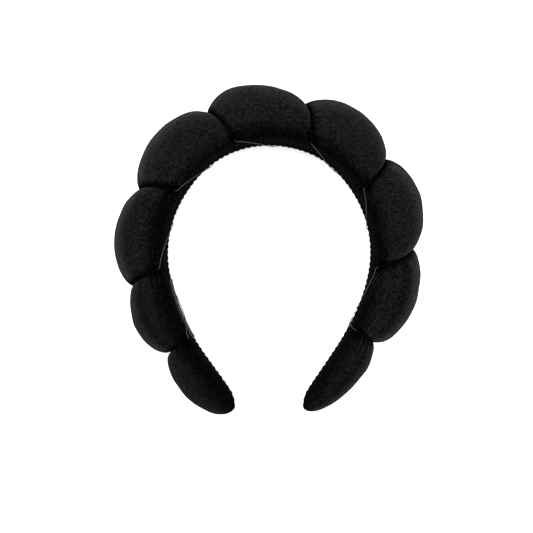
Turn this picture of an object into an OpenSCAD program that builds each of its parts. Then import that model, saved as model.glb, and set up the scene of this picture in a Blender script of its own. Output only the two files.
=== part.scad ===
// Padded headband: a velvet-covered foam roll, tied into nine puffs by one thin
// thread that winds round it, with a ribbed ribbon on the side that meets the hair and a
// smooth strip sewn to the ribbon. The band lies on its side. The crown points to +Y and
// the open ends to -Y.

/* [Band] */
// Inside radius over the top of the head
crown_r = 59.8; // [50:0.1:70]
// Angle of the crown's arc, from the top to either side
crown_arc = 45; // [38:1:50]
// Inside radius beside the head
side_r = 67.5; // [60:0.5:80]
// Angle of each side's arc
side_arc = 55.5; // [50:0.5:60]
// Inside radius of each leg, behind the ears
leg_r = 122; // [95:1:150]
// Length of each leg, from the side's arc to its tip
leg_l = 89.5; // [75:0.5:95]

/* [Padding] */
// Thickness of the fullest puff, from the inside face to its crest
puff_h = 36.4; // [30:0.2:44]
// Depth of the padding at the crown, from front to back
crown_d = 45; // [36:0.5:54]
// Depth of the padding near the tips
tip_d = 28; // [22:0.5:34]
// How far a puff is pressed flat where the band rests on a table
rest_press = 0.6; // [0.2:0.1:1.5]
// Length over which the inside face rounds off towards each tip
heel_l = 37; // [20:1:45]

/* [Inside face] */
// Width of the inside face at the crown
crown_face_w = 26; // [20:0.5:30]
// Width of the inside face near the tips
tip_face_w = 16; // [12:0.5:18]
// Radius of the inside face across its width
face_r = 28; // [20:1:60]

/* [Lining] */
// Thickness of the ribbon
lining_t = 1; // [0.6:0.1:1.6]
// Strip of padding that shows beyond each edge of the ribbon
lining_margin = 1.2; // [0.5:0.1:3]
// Distance from the ribbon's end to the padding's tip
lining_end = 3; // [2:0.5:12]

/* [Label] */
// Thickness of the smooth strip sewn to the ribbon
label_t = 0.5; // [0.3:0.1:0.8]
// Width of the strip
label_w = 9; // [6:0.5:12]
// Length of the strip
label_l = 34; // [20:1:38]

/* [Thread] */
// Thickness of the binding thread
thread_d = 0.6; // [0.4:0.1:1.2]

/* [Hidden] */

// Gap between the padding and the ribbon
lining_gap = 0.25;
// Gap between the ribbon and the strip
label_gap = 0.2;
// Gap between the thread and what it lies on
thread_gap = 0.2;
// Room beside the thread at the bottom of a pinch
pinch_room = 0.3;
// Widest that the inside face gets, as a share of the section's depth
FACE_MAX = 0.82;

// Steps along a puff, over its outside, and across the inside face and the ribbon
PUFF_STEPS = 12;
RIM_STEPS = 20;
FACE_STEPS = 6;
// Steps along the ribbon, and along and across the strip
LINING_STEPS = 96;
LABEL_STEPS = 9;
LABEL_CROSS_STEPS = 4;
// The last ring before a tip, in steps from the tip
TIP_STEP = 0.12;
// Half the length over which the inside face's slope along the band is taken
SLOPE_STEP = 0.5;
// Sides of the thread
THREAD_SIDES = 5;

// Pinches and tips, in order along the band.
// AT: place, as a share of the half length, from the left tip at -1 to the right tip at 1.
// HIGH: height of the crest there, as a share of puff_h.
// DEEP: depth there, as a share of the padding's full depth.
// LEAN: how far the pinch runs on towards the right tip from its crest to the inside
// face's front edge, as a share of puff_h. It runs back as far on the other side.
AT = 0;
HIGH = 1;
DEEP = 2;
LEAN = 3;
PINCHES = [
    [-1.000, 0.26, 0.00, 0.00],
    [-0.768, 0.42, 0.74, 0.05],
    [-0.573, 0.57, 0.74, 0.20],
    [-0.353, 0.61, 0.74, 0.23],
    [-0.131, 0.68, 0.74, 0.21],
    [ 0.074, 0.66, 0.74, 0.26],
    [ 0.280, 0.67, 0.74, 0.19],
    [ 0.484, 0.60, 0.74, 0.31],
    [ 0.738, 0.42, 0.74, -0.05],
    [ 1.000, 0.26, 0.00, 0.00],
];

// Puffs, one between each pair of neighbours above.
// PEAK: place of the crest's highest point, as a share of the puff's length.
// TOP: height there, as a share of puff_h.
// RISE and FALL: how full the crest is before and after that point; 2 is an ellipse.
PEAK = 0;
TOP = 1;
RISE = 2;
FALL = 3;
PUFFS = [
    [0.53, 0.66, 2.0, 2.4],
    [0.53, 0.775, 1.9, 1.5],
    [0.49, 0.86, 1.8, 1.9],
    [0.60, 0.955, 2.0, 1.7],
    [0.36, 0.99, 2.0, 1.6],
    [0.48, 0.99, 1.9, 1.8],
    [0.45, 0.95, 2.0, 1.4],
    [0.36, 0.83, 2.2, 2.0],
    [0.27, 0.57, 1.6, 2.3],
];
LAST = len(PUFFS);

// Lengths along the inside face, from the top of the crown
crown_l = crown_r * crown_arc * PI / 180;
side_l = side_r * side_arc * PI / 180;
half_l = crown_l + side_l + leg_l;

function mix(a, b, t) = a + (b - a) * t;
function turn(a) = [sin(a), cos(a)];

// Centres of the side's and the leg's arcs, each tangent to the one before
side_c = (crown_r - side_r) * turn(crown_arc);
leg_c = side_c + (side_r - leg_r) * turn(crown_arc + side_arc);

// Point of the plan at length q along the inside face and n out from it
function right_point(q, n) =
    q < crown_l ? (crown_r + n) * turn(q / crown_r * 180 / PI) :
    q < crown_l + side_l
        ? side_c + (side_r + n) * turn(crown_arc + (q - crown_l) / side_r * 180 / PI)
        : leg_c + (leg_r + n)
            * turn(crown_arc + side_arc + (q - crown_l - side_l) / leg_r * 180 / PI);
function plan(q, n) =
    q < 0 ? [-right_point(-q, n).x, right_point(-q, n).y] : right_point(q, n);

// Share of the way from the crown to the tips, measured down the plan
tip_y = right_point(half_l, 0).y;
function down(q) = (crown_r - plan(q, 0).y) / (crown_r - tip_y);

// Half the padding's full depth, and the height of its middle above the table
function half_d(q) = mix(crown_d, tip_d, down(q)) / 2;
function mid_z(q) = half_d(q) - rest_press;

// Rounding towards the tips: 1 along the band, down to 0 at either tip
function heel(q) =
    let (d = half_l - abs(q))
    d >= heel_l ? 1 : sqrt(1 - pow(1 - max(d, 0) / heel_l, 2));

// Half the width of the inside face, which always fits in the shallowest pinch
pinch_deep = min([for (i = [1:LAST - 1]) PINCHES[i][DEEP]]);
function half_face(q) =
    heel(q) * min(
        mix(crown_face_w, tip_face_w, down(q)) / 2,
        FACE_MAX * pinch_deep * half_d(q)
    );

// The inside face at length q and z up from its middle, as a distance out from the plan
nose_n = PINCHES[0][HIGH] * puff_h;
function face_n(q, z) = nose_n * (1 - heel(q)) + z * z / (2 * face_r);

// How full a puff is at share u of its length: 0 at its pinches and 1 at its peak
function swell(puff, u) =
    u < puff[PEAK]
        ? sqrt(max(0, 1 - pow(1 - u / puff[PEAK], puff[RISE])))
        : sqrt(max(0, 1 - pow((u - puff[PEAK]) / (1 - puff[PEAK]), puff[FALL])));

// A ring round the padding.
// ALONG: length along the band at its crest.
// CREST: height of its crest.
// SHARE: its depth, as a share of the full depth there.
// SHIFT: how far on it meets the inside face's front edge, and how far back its back edge.
ALONG = 0;
CREST = 1;
SHARE = 2;
SHIFT = 3;

// The bottom of a pinch is flat, just wide enough for the thread
function pinch_half(i) = i == 0 || i == LAST ? 0 : thread_d / 2 + pinch_room;

// The ring at share u of puff i's length
function ring(i, u) =
    let (
        puff = PUFFS[i],
        from = PINCHES[i][AT] * half_l + pinch_half(i),
        to = PINCHES[i + 1][AT] * half_l - pinch_half(i + 1),
        end = PINCHES[u < puff[PEAK] ? i : i + 1],
        full = swell(puff, u)
    )
    [
        mix(from, to, u),
        mix(end[HIGH], puff[TOP], full) * puff_h,
        mix(end[DEEP], 1, full),
        mix(PINCHES[i][LEAN], PINCHES[i + 1][LEAN], u) * puff_h
    ];

// Share of a puff's length at step k, with the steps close together near its pinches
function eased(k) = (1 - cos(180 * k / PUFF_STEPS)) / 2;
stations = [
    for (i = [0:LAST - 1])
        for (k = [0:PUFF_STEPS])
            let (
                first = i == 0 && k == 0,
                last = i == LAST - 1 && k == PUFF_STEPS
            )
            ring(i, eased(first ? TIP_STEP : last ? PUFF_STEPS - TIP_STEP : k))
];

// Point in space at length q, n out and z up from the band's middle, never under the table
function space(q, n, z) = [plan(q, n).x, plan(q, n).y, max(0, mid_z(q) + z)];

// The rim is part of an ellipse of half axes a and b. It runs from the inside face's back
// edge, f = -1, over the crest to its front edge, f = 1. out is a distance out from it.
function rim_point(r, f, out = 0) =
    let (
        q = r[ALONG] + r[SHIFT] * f,
        b = half_d(q) * r[SHARE],
        w = min(half_face(q), FACE_MAX * b),
        a = (r[CREST] - face_n(q, w)) / (1 + sqrt(1 - pow(w / b, 2))),
        t = (180 - asin(w / b)) * f,
        normal = [cos(t) / a, sin(t) / b],
        lift = out * normal / norm(normal)
    )
    space(q, r[CREST] - a + a * cos(t) + lift[0], b * sin(t) + lift[1]);

// The inside face runs back from its front edge, f = 1, to its back edge, f = -1
function pad_face_point(r, f) =
    let (
        q = r[ALONG] + r[SHIFT] * f,
        z = min(half_face(q), FACE_MAX * half_d(q) * r[SHARE]) * f
    )
    space(q, face_n(q, z), z);

function pad_ring(r) = concat(
    [for (k = [0:RIM_STEPS]) rim_point(r, 2 * k / RIM_STEPS - 1)],
    [for (k = [1:FACE_STEPS - 1]) pad_face_point(r, 1 - 2 * k / FACE_STEPS)]
);

// Faces of a tube with closed ends, made of count rings of n points each
function tube_faces(count, n) = concat(
    [[for (k = [0:n - 1]) k]],
    [
        for (i = [0:count - 2])
            for (k = [0:n - 1])
                for (half = [0, 1])
                    let (a = i * n + k, b = i * n + (k + 1) % n)
                    half == 0 ? [a, a + n, b] : [b, a + n, b + n]
    ],
    [[for (k = [0:n - 1]) count * n - 1 - k]]
);

module tube(rings) {
    n = len(rings[0]);
    polyhedron([for (r = rings) each r], tube_faces(len(rings), n));
}

pad_rings = [for (r = stations) pad_ring(r)];

// The origin is on the table, under the middle of the padding's outline
pad_x = [for (r = pad_rings) for (p = r) p.x];
pad_y = [for (r = pad_rings) for (p = r) p.y];
middle = [(min(pad_x) + max(pad_x)) / 2, (min(pad_y) + max(pad_y)) / 2, 0];

// A point over the inside face: out is its distance from the face, towards the hair
function over_face(q, z, out) =
    let (
        slope = z / face_r,
        run = (face_n(q + SLOPE_STEP, 0) - face_n(q - SLOPE_STEP, 0)) / (2 * SLOPE_STEP),
        m = norm([run, slope, 1])
    )
    space(q + out * run / m, face_n(q, z) - out / m, z + out * slope / m);

module padding() {
    color("#17171a") translate(-middle) tube(pad_rings);
}

function lining_ring(q) =
    let (w = half_face(q) - lining_margin * heel(q))
    concat(
        [
            for (k = [0:FACE_STEPS])
                over_face(q, w * (2 * k / FACE_STEPS - 1), lining_gap)
        ],
        [
            for (k = [0:FACE_STEPS])
                over_face(q, w * (1 - 2 * k / FACE_STEPS), lining_gap + lining_t)
        ]
    );

module lining() {
    reach = half_l - lining_end;
    color("#0e0e10") translate(-middle) tube([
        for (i = [0:LINING_STEPS]) lining_ring(mix(-reach, reach, i / LINING_STEPS))
    ]);
}

// The strip lies between the first two pinches, in the middle of the ribbon
label_at = (PINCHES[1][AT] + PINCHES[2][AT]) / 2 * half_l;
label_lift = lining_gap + lining_t + label_gap;

function label_ring(q) = concat(
    [
        for (k = [0:LABEL_CROSS_STEPS])
            over_face(q, label_w * (k / LABEL_CROSS_STEPS - 0.5), label_lift)
    ],
    [
        for (k = [0:LABEL_CROSS_STEPS])
            over_face(q, label_w * (0.5 - k / LABEL_CROSS_STEPS), label_lift + label_t)
    ]
);

module label() {
    color("#26262a") translate(-middle) tube([
        for (i = [0:LABEL_STEPS])
            label_ring(label_at + label_l * (i / LABEL_STEPS - 0.5))
    ]);
}

// The thread lies in each pinch, from the inside face's back edge over the crest to its
// front edge, and then crosses the ribbon on a slant to the next pinch. Crossing i follows
// pinch i, and the first one passes over the strip.
groove_out = thread_d / 2 + thread_gap;
function cross_out(i) =
    lining_gap + lining_t + (i == 1 ? label_gap + label_t : 0) + groove_out;

function pinch_ring(i) = [
    PINCHES[i][AT] * half_l,
    PINCHES[i][HIGH] * puff_h,
    PINCHES[i][DEEP],
    PINCHES[i][LEAN] * puff_h
];
function front_q(i) = pinch_ring(i)[ALONG] + pinch_ring(i)[SHIFT];
function back_q(i) = pinch_ring(i)[ALONG] - pinch_ring(i)[SHIFT];

function groove_path(i) = [
    for (k = [0:RIM_STEPS])
        rim_point(pinch_ring(i), 2 * k / RIM_STEPS - 1,
            k == 0 ? cross_out(i - 1) : k == RIM_STEPS ? cross_out(i) : groove_out)
];

// From length q0 and share f0 of the face's half width to length q1 and share f1
function cross_path(q0, f0, q1, f1, out) = [
    for (k = [1:FACE_STEPS - 1])
        let (
            q = mix(q0, q1, k / FACE_STEPS),
            f = mix(f0, f1, k / FACE_STEPS)
        )
        over_face(q, half_face(q) * f, out)
];

// Both ends stop at the middle of the ribbon
thread_path = concat(
    cross_path(back_q(1), 0, back_q(1), -1, cross_out(0)),
    [
        for (i = [1:LAST - 1])
            each concat(
                groove_path(i),
                i < LAST - 1
                    ? cross_path(front_q(i), 1, back_q(i + 1), -1, cross_out(i))
                    : cross_path(front_q(i), 1, front_q(i), 0, cross_out(i))
            )
    ]
);

// A tube along a path has rings square to it, each turned as little as can be from the
// one before
function unit(v) = v / norm(v);
function heading(path, i) = unit(path[min(i + 1, len(path) - 1)] - path[max(i - 1, 0)]);
function sides(path, i = 0, before = [0, 0, 1]) =
    i == len(path) ? [] :
    let (
        t = heading(path, i),
        side = unit(before - (before * t) * t)
    )
    concat([side], sides(path, i + 1, side));

module thread() {
    side = sides(thread_path);
    color("#8d8d92") translate(-middle) tube([
        for (i = [0:len(thread_path) - 1])
            let (t = heading(thread_path, i), up = cross(t, side[i]))
            [
                for (k = [0:THREAD_SIDES - 1])
                    let (a = 360 * k / THREAD_SIDES)
                    thread_path[i] + thread_d / 2 * (cos(a) * side[i] + sin(a) * up)
            ]
    ]);
}

padding();
lining();
label();
thread();
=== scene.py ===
"""A padded velvet headband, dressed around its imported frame.

Lengths are in millimetres until a mesh is made. A place on the band has a length q
along the inside face from the top of the crown, a distance n out from that face's
line, and a height z above the band's middle.
"""

import logging
import math
from abc import ABC, abstractmethod
from dataclasses import dataclass, field
from enum import Enum

import bpy
import numpy as np
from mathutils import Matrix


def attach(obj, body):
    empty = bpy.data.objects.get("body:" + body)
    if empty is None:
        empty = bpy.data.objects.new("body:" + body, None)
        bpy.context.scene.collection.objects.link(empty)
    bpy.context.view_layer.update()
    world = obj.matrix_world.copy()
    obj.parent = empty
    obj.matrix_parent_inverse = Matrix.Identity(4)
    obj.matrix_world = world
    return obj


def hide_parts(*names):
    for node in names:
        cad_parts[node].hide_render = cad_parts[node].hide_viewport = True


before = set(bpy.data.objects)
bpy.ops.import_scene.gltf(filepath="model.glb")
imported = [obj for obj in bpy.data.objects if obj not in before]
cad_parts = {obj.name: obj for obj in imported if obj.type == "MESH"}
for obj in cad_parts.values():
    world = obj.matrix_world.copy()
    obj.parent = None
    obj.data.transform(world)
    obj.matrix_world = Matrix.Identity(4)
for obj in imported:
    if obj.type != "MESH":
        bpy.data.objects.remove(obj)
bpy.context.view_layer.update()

LOG = logging.getLogger("headband")
MM = 0.001
# Stands for the distance to a pinch at a tip, where there is none
NO_PINCH = 99
# Keeps lengths that are divided by from being 0
TINY = 1e-4


class Side(Enum):
    """The two edges of the inside face."""

    FRONT = 1
    BACK = -1


def to_linear(code: str) -> tuple[float, float, float, float]:
    """Turn an sRGB colour into the linear one that shaders take.

    Args:
        code: The colour as #rrggbb.

    Returns:
        Linear red, green and blue, and an alpha of 1.
    """
    parts = [int(code[i : i + 2], 16) / 255 for i in (1, 3, 5)]
    linear = [c / 12.92 if c <= 0.04045 else ((c + 0.055) / 1.055) ** 2.4 for c in parts]
    return (*linear, 1.0)


def per_metre(size: float) -> float:
    """Return the texture scale that makes a feature of this many millimetres."""
    return 1 / (size * MM)


def add_node(
    tree: bpy.types.NodeTree,
    kind: str,
    inputs: dict[str | int, object] | None = None,
    stops: tuple[tuple[float, str], ...] = (),
    **settings: object,
) -> bpy.types.Node:
    """Add one shader node with its settings and links.

    Args:
        tree: The material's or world's node tree.
        kind: Blender's name for the node.
        inputs: A value, or the socket that feeds it, for each input named here.
        stops: Places and sRGB colours of a colour ramp.
        settings: Properties of the node itself.

    Returns:
        The new node.
    """
    node = tree.nodes.new(kind)
    for name, value in settings.items():
        setattr(node, name, value)
    for name, value in (inputs or {}).items():
        if isinstance(value, bpy.types.NodeSocket):
            tree.links.new(value, node.inputs[name])
        else:
            node.inputs[name].default_value = value
    for i, (place, code) in enumerate(stops):
        ramp = node.color_ramp.elements
        stop = ramp[i] if i < len(ramp) else ramp.new(place)
        stop.position = place
        stop.color = to_linear(code)
    return node


def new_material(name: str) -> tuple[bpy.types.Material, bpy.types.NodeTree]:
    """Make an empty node material.

    Args:
        name: The name of the real material.

    Returns:
        The material and its node tree.
    """
    material = bpy.data.materials.new(name)
    material.use_nodes = True
    material.node_tree.nodes.clear()
    return material, material.node_tree


def smoothstep(low: float, high: float, x: np.ndarray) -> np.ndarray:
    """Rise smoothly from 0 at low to 1 at high."""
    t = np.clip((x - low) / (high - low), 0, 1)
    return t * t * (3 - 2 * t)


def grid_faces(rows: int, columns: int, closed: bool) -> np.ndarray:
    """Number the quads of a grid of points, row after row.

    Args:
        rows: How many rows the grid has.
        columns: How many points each row has.
        closed: Whether each row is a loop.

    Returns:
        The four point numbers of each quad.
    """
    row = np.arange(rows - 1)[:, None]
    column = np.arange(columns if closed else columns - 1)[None, :]
    a = row * columns + column
    b = row * columns + (column + 1) % columns
    return np.stack([a, a + columns, b + columns, b], axis=-1).reshape(-1, 4)


def facing_out(points: np.ndarray, faces: list[tuple[int, ...]]) -> list[tuple[int, ...]]:
    """Turn a closed mesh's faces over if they look inwards.

    Args:
        points: The mesh's points, (points, 3).
        faces: The point numbers of each face, all wound the same way.

    Returns:
        The faces, looking outwards.
    """
    volume = 0.0
    for size in {len(f) for f in faces}:
        group = points[np.array([f for f in faces if len(f) == size])]
        for k in range(1, size - 1):
            volume += float((group[:, 0] * np.cross(group[:, k], group[:, k + 1])).sum())
    return [f[::-1] for f in faces] if volume < 0 else faces


def make_piece(name: str, points: np.ndarray, faces: list[tuple[int, ...]]) -> bpy.types.Object:
    """Make a smooth mesh piece.

    Args:
        name: The piece's name.
        points: Its points, in millimetres.
        faces: The point numbers of each face.

    Returns:
        The new object, linked to the scene.
    """
    mesh = bpy.data.meshes.new(name)
    mesh.from_pydata((points * MM).tolist(), [], [list(f) for f in facing_out(points, faces)])
    mesh.validate()
    mesh.shade_smooth()
    piece = bpy.data.objects.new(name, mesh)
    bpy.context.scene.collection.objects.link(piece)
    return piece


def capped_mesh(rings: np.ndarray) -> tuple[np.ndarray, list[tuple[int, ...]]]:
    """Lay a tube through rings of points, each end closed by a fan to its middle.

    Args:
        rings: Points as (rings, points a ring, 3).

    Returns:
        The tube's points, the two ends' middles last, and the point numbers of each face.
    """
    rows, columns = rings.shape[:2]
    ends = np.stack([rings[0].mean(axis=0), rings[-1].mean(axis=0)])
    faces = [tuple(f) for f in grid_faces(rows, columns, True).tolist()]
    last, first_end = (rows - 1) * columns, rows * columns
    for k in range(columns):
        after = (k + 1) % columns
        faces.append((first_end, k, after))
        faces.append((first_end + 1, last + after, last + k))
    return np.concatenate([rings.reshape(-1, 3), ends]), faces


def closed_ribbon(name: str, outer: np.ndarray, inner: np.ndarray) -> bpy.types.Object:
    """Make a flat ribbon between two grids of points, closed along its sides and ends.

    Args:
        name: The piece's name.
        outer: Points of its outer side as (rows, points across, 3).
        inner: Points of its inner side, each one behind its outer one.

    Returns:
        The new object.
    """
    rows, across = outer.shape[:2]
    rings = np.concatenate([outer, inner[:, ::-1]], axis=1)
    faces = [tuple(f) for f in grid_faces(rows, 2 * across, True).tolist()]
    last = (rows - 1) * 2 * across
    for k in range(across - 1):
        end = (k, k + 1, 2 * across - 2 - k, 2 * across - 1 - k)
        faces.append(end)
        faces.append(tuple(last + p for p in reversed(end)))
    return make_piece(name, rings.reshape(-1, 3), faces)


def thread_rings(path: np.ndarray, radius: float, sides: int) -> np.ndarray:
    """Wrap rings round a path, each turned as little as can be from the one before.

    Args:
        path: Points along the middle line.
        radius: The thread's radius.
        sides: How many points each ring has.

    Returns:
        Rings of points, (path points, sides, 3).
    """
    ahead = np.gradient(path, axis=0)
    ahead /= np.linalg.norm(ahead, axis=1, keepdims=True)
    across = np.empty_like(path)
    last = np.array([0.0, 0.0, 1.0])
    for i, direction in enumerate(ahead):
        last = last - (last @ direction) * direction
        last /= np.linalg.norm(last)
        across[i] = last
    up = np.cross(ahead, across)
    angle = np.linspace(0, 2 * math.pi, sides, endpoint=False)[:, None]
    circle = np.cos(angle) * across[:, None] + np.sin(angle) * up[:, None]
    return path[:, None] + radius * circle


@dataclass(frozen=True)
class BandPlan:
    """The line of the inside face, and the band's depth and width along it."""

    crown_radius: float = 59.8
    crown_angle: float = 45.0
    side_radius: float = 67.5
    side_angle: float = 55.5
    leg_radius: float = 122.0
    leg_length: float = 89.5
    crown_depth: float = 45.0
    tip_depth: float = 28.0
    rest_press: float = 0.6
    heel_length: float = 37.0
    nose: float = 9.46
    crown_face: float = 26.0
    tip_face: float = 16.0
    face_radius: float = 28.0
    # Where the inside face bows in from its arcs, as (length along, reach, how far)
    bows: tuple[tuple[float, float, float], ...] = (
        (-64.0, 26.0, 0.7), (33.0, 14.0, -0.6), (156.0, 24.0, 0.9),
    )
    # From the middle of the crown's arc to the frame's origin
    shift: tuple[float, float] = (-0.5685, -4.2247)

    @property
    def crown_length(self) -> float:
        """Length of the crown's arc, on either side."""
        return self.crown_radius * math.radians(self.crown_angle)

    @property
    def side_length(self) -> float:
        """Length of either side's arc."""
        return self.side_radius * math.radians(self.side_angle)

    @property
    def half_length(self) -> float:
        """Length of the inside face from the top of the crown to either tip."""
        return self.crown_length + self.side_length + self.leg_length

    def plan(self, q: np.ndarray, n: np.ndarray) -> tuple[np.ndarray, np.ndarray]:
        """Find points of the plan.

        Args:
            q: Lengths along the inside face.
            n: Distances out from it.

        Returns:
            The x and y of each point, from the plan's own origin.
        """
        length = np.abs(q)
        crown = math.radians(self.crown_angle)
        turned = crown + math.radians(self.side_angle)
        side_x = (self.crown_radius - self.side_radius) * math.sin(crown)
        side_y = (self.crown_radius - self.side_radius) * math.cos(crown)
        leg_x = side_x + (self.side_radius - self.leg_radius) * math.sin(turned)
        leg_y = side_y + (self.side_radius - self.leg_radius) * math.cos(turned)
        past_crown = length - self.crown_length
        past_side = past_crown - self.side_length
        where = [past_crown < 0, past_side < 0]
        angle = np.select(
            where,
            [length / self.crown_radius, crown + past_crown / self.side_radius],
            turned + past_side / self.leg_radius,
        )
        radius = np.select(where, [self.crown_radius, self.side_radius], self.leg_radius) + n
        x = np.select(where, [0.0, side_x], leg_x) + radius * np.sin(angle)
        y = np.select(where, [0.0, side_y], leg_y) + radius * np.cos(angle)
        return np.where(q < 0, -x, x), y

    def down(self, q: np.ndarray) -> np.ndarray:
        """Share of the way down the plan from the crown, 0, to the tips, 1."""
        tip = self.plan(np.array(self.half_length), np.array(0.0))[1]
        return (self.crown_radius - self.plan(q, np.zeros_like(q))[1]) / (self.crown_radius - tip)

    def half_depth(self, q: np.ndarray) -> np.ndarray:
        """Half the padding's full depth."""
        return (self.crown_depth + (self.tip_depth - self.crown_depth) * self.down(q)) / 2

    def heel(self, q: np.ndarray) -> np.ndarray:
        """Rounding towards the tips, from 1 along the band down to 0 at either tip."""
        left = np.clip((self.half_length - np.abs(q)) / self.heel_length, 0, 1)
        return np.sqrt(1 - (1 - left) ** 2)

    def face_half(self, q: np.ndarray) -> np.ndarray:
        """Half the width of the inside face."""
        wide = self.crown_face + (self.tip_face - self.crown_face) * self.down(q)
        return self.heel(q) * wide / 2

    def face_out(self, q: np.ndarray, z: np.ndarray) -> np.ndarray:
        """Distance out from the plan's line to the inside face."""
        bow = sum(far * np.exp(-(((q - at) / reach) ** 2)) for at, reach, far in self.bows)
        return self.nose * (1 - self.heel(q)) + z * z / (2 * self.face_radius) - bow

    def place(self, q: np.ndarray, n: np.ndarray, z: np.ndarray) -> np.ndarray:
        """Turn places on the band into points of the frame.

        Args:
            q: Lengths along the inside face.
            n: Distances out from its line.
            z: Heights from the band's middle.

        Returns:
            Points as (..., 3), never below the table.
        """
        x, y = self.plan(q, n)
        height = np.maximum(0, self.half_depth(q) - self.rest_press + z)
        return np.stack([x - self.shift[0], y - self.shift[1], height], axis=-1)

    def over_face(self, q: np.ndarray, z: np.ndarray, out: np.ndarray | float) -> np.ndarray:
        """Find points over the inside face.

        Args:
            q: Lengths along the inside face.
            z: Heights from the band's middle.
            out: Distances from the face, towards the hair.

        Returns:
            Points of the frame, (..., 3).
        """
        step = 0.5
        slope = z / self.face_radius
        run = (self.face_out(q + step, 0 * z) - self.face_out(q - step, 0 * z)) / (2 * step)
        size = np.sqrt(run**2 + slope**2 + 1)
        n = self.face_out(q, z) - out / size
        return self.place(q + out * run / size, n, z + out * slope / size)


@dataclass(frozen=True)
class Pinch:
    """Where the thread ties the roll in, or where the roll ends.

    AT is a share of the band's half length, HIGH and LEAN are shares of the fullest
    puff's thickness, and DEEP is a share of the padding's depth. LEAD is how far along
    the thread shows on the ribbon, in millimetres, before it is over the band's middle.
    It comes out of the crease at the place LEAVES round the rim, then RUNS some
    millimetres along the velvet's lip before it is on the ribbon.
    """

    at: float
    high: float
    deep: float
    lean: float
    lead: float = 0.0
    leaves: float = 0.95
    runs: float = 3.5


@dataclass(frozen=True)
class Puff:
    """The swell between two pinches.

    PEAK is a share of its length, TOP a share of the fullest puff's thickness, and RISE
    and FALL say how square its two shoulders are. DARK is how far out from the inside
    face, in millimetres, it gets painted shade, and the field after it is its share of
    painted light elsewhere. SHINE is how much more painted highlight it gets next to the
    crest, and BAND how much painted shade darkens the band between there and its middle.
    """

    peak: float
    top: float
    rise: float
    fall: float
    dark: float
    # Share of painted light away from the inside face
    open: float = 1.0
    shine: float = 0.0
    band: float = 0.0


PINCHES = (
    Pinch(-1.000, 0.26, 0.00, 0.00),
    Pinch(-0.768, 0.385, 0.74, 0.05, 13.0, 0.99, 5.0),
    Pinch(-0.573, 0.55, 0.74, 0.20, 24.5, 0.91, 11.0),
    Pinch(-0.353, 0.575, 0.74, 0.23, 22.0, 0.955, 7.0),
    Pinch(-0.131, 0.65, 0.74, 0.21, 19.5, 0.985, 4.5),
    Pinch(0.074, 0.63, 0.74, 0.26, 15.0, 0.985, 3.6),
    Pinch(0.280, 0.64, 0.74, 0.19, 20.5, 0.92, 9.5),
    Pinch(0.484, 0.575, 0.74, 0.31, 25.5, 0.97, 10.5),
    Pinch(0.738, 0.395, 0.74, -0.05, -4.5, 0.925),
    Pinch(1.000, 0.26, 0.00, 0.00),
)
# Each puff's shape, then its painted shade, painted light, painted highlight and band of painted
# shade
PUFFS = (
    Puff(0.53, 0.66, 2.0, 2.4, 8.5, 0.85, -0.25, 0.15),
    Puff(0.53, 0.775, 1.9, 1.5, 8.0, 0.88, 0.1, 0.25),
    Puff(0.49, 0.86, 1.8, 1.9, 8.7, 1.0, 0.22, 0.22),
    Puff(0.60, 0.955, 2.0, 1.7, 5.2, 1.0, 0.22, -0.05),
    Puff(0.36, 0.99, 2.0, 1.6, 8.0, 1.0, -0.06, -0.08),
    Puff(0.48, 0.99, 1.9, 1.8, 7.5, 1.0, 0.0, -0.25),
    Puff(0.48, 0.955, 2.0, 1.5, 6.2, 1.0, 0.24, -0.05),
    Puff(0.38, 0.845, 2.2, 2.0, 5.0, 0.92, 0.48, 0.35),
    Puff(0.27, 0.57, 1.6, 2.4, 4.0, 0.85, 0.05, 0.35),
)


@dataclass(frozen=True)
class Tuck:
    """A small fan of folds that runs into a puff from one of its pinches.

    ROUND and SPREAD are the fan's middle and half width, as places round the rim, and
    SLANT is how far its folds move round the rim for each millimetre from the pinch.
    """

    puff: int
    from_end: bool
    round: float
    spread: float
    folds: int
    reach: float
    height: float
    slant: float = 0.0


TUCKS = (
    Tuck(1, True, 0.78, 0.20, 4, 7.0, 0.24),
    Tuck(2, False, 0.84, 0.13, 3, 8.0, 0.24),
    Tuck(3, False, 0.84, 0.12, 3, 6.0, 0.30),
    Tuck(6, False, 0.12, 0.12, 2, 9.0, 0.45),
    Tuck(7, False, 0.95, 0.10, 4, 18.0, 0.75, 0.016),
    Tuck(8, False, 0.55, 0.24, 4, 8.0, 0.50),
    Tuck(7, True, 0.70, 0.16, 3, 6.0, 0.35),
)


@dataclass(frozen=True)
class Station:
    """A section of the roll: its length along the band, crest, depth share and lean."""

    along: np.ndarray
    crest: np.ndarray
    share: np.ndarray
    shift: np.ndarray


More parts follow.
